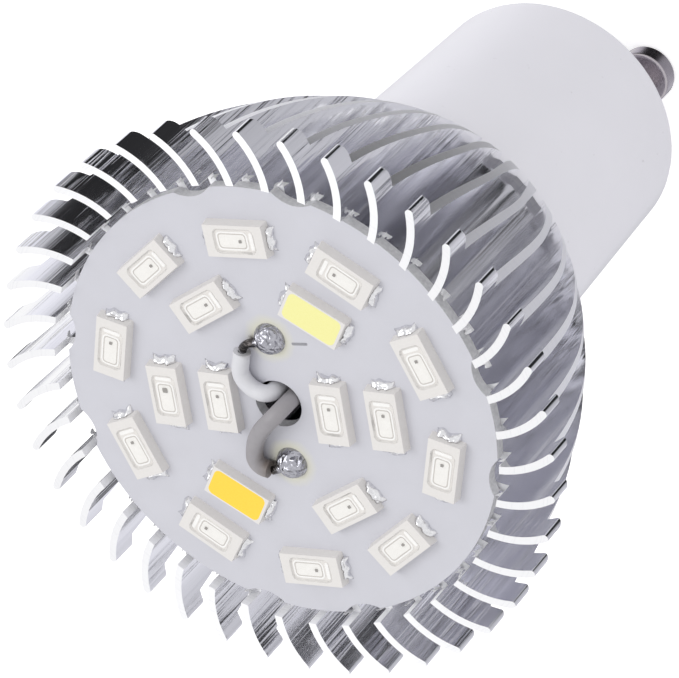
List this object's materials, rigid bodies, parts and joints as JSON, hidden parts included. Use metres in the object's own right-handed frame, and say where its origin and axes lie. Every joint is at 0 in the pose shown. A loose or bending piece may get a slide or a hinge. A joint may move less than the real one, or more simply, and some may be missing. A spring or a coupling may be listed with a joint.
{
  "type": "grow light bulb",
  "caption": "Reflector-shaped grow lamp with a spiral-finned turned aluminium heat sink, a white disc of small LEDs in its mouth and a white twin-pin twist-lock cap.",
  "frame": {"origin": "centre of the pin circle, in the plane of the two pins' ends", "axes": "+Z along the lamp's axis, from the pins towards the light; +X through the centres of both pins"},
  "size_m": [0.0488, 0.0488, 0.0628],
  "materials": {
    "turned_aluminium": "fine-turned outside, plain extruded fin sides",
    "white_solder_mask": "satin white mask on an aluminium disc",
    "thermal_paste": "smeared matt film",
    "white_led_package": "moulded",
    "clear_silicone": "smooth resin",
    "yellow_phosphor": "smooth resin with phosphor",
    "orange_phosphor": "smooth resin with phosphor",
    "bright_solder": "lumpy and shiny",
    "white_insulation": "satin",
    "grey_insulation": "satin",
    "white_moulding": "smooth satin",
    "nickel_plated_brass": "turned and plated",
    "zinc_plated_steel": "plated",
    "glass_epoxy": "satin",
    "black_moulding": "matt",
    "capacitor_sleeve": "shrunk sleeve",
    "resistor_coating": "lacquered",
    "ferrite": "pressed and ground",
    "winding_tape": "polyester tape over copper wire"
  },
  "bodies": {
    "root": {"heat_sink": "turned_aluminium", "led_board": "white_solder_mask", "thermal_paste": "thermal_paste", "led_01": "white_led_package", "led_02": "white_led_package", "led_03": "white_led_package", "led_04": "white_led_package", "led_05": "white_led_package", "led_06": "white_led_package", "led_07": "white_led_package", "led_08": "white_led_package", "led_09": "white_led_package", "led_10": "white_led_package", "led_11": "white_led_package", "led_12": "white_led_package", "led_13": "white_led_package", "led_14": "white_led_package", "led_15": "white_led_package", "led_16": "white_led_package", "led_17": "white_led_package", "led_18": "white_led_package", "encapsulant_01": "clear_silicone", "encapsulant_02": "clear_silicone", "encapsulant_03": "clear_silicone", "encapsulant_04": "clear_silicone", "encapsulant_05": "clear_silicone", "encapsulant_06": "clear_silicone", "encapsulant_07": "clear_silicone", "encapsulant_08": "clear_silicone", "encapsulant_09": "clear_silicone", "encapsulant_10": "clear_silicone", "encapsulant_11": "clear_silicone", "encapsulant_12": "yellow_phosphor", "encapsulant_13": "clear_silicone", "encapsulant_14": "clear_silicone", "encapsulant_15": "orange_phosphor", "encapsulant_16": "clear_silicone", "encapsulant_17": "clear_silicone", "encapsulant_18": "clear_silicone", "led_terminals": "bright_solder", "solder_joint_a": "bright_solder", "solder_joint_b": "bright_solder", "supply_lead_a": "white_insulation", "supply_lead_b": "grey_insulation", "base_housing": "white_moulding", "contact_pin_a": "nickel_plated_brass", "contact_pin_b": "nickel_plated_brass", "fixing_screws": "zinc_plated_steel", "mains_lead_a": "white_insulation", "mains_lead_b": "white_insulation", "driver_board": "glass_epoxy", "rectifier": "black_moulding", "control_chip": "black_moulding", "bulk_capacitor": "capacitor_sleeve", "output_capacitor": "capacitor_sleeve", "fuse_resistor": "resistor_coating", "transformer_core": "ferrite", "transformer_bobbin": "black_moulding", "transformer_coil": "winding_tape"}
  },
  "joints": []
}
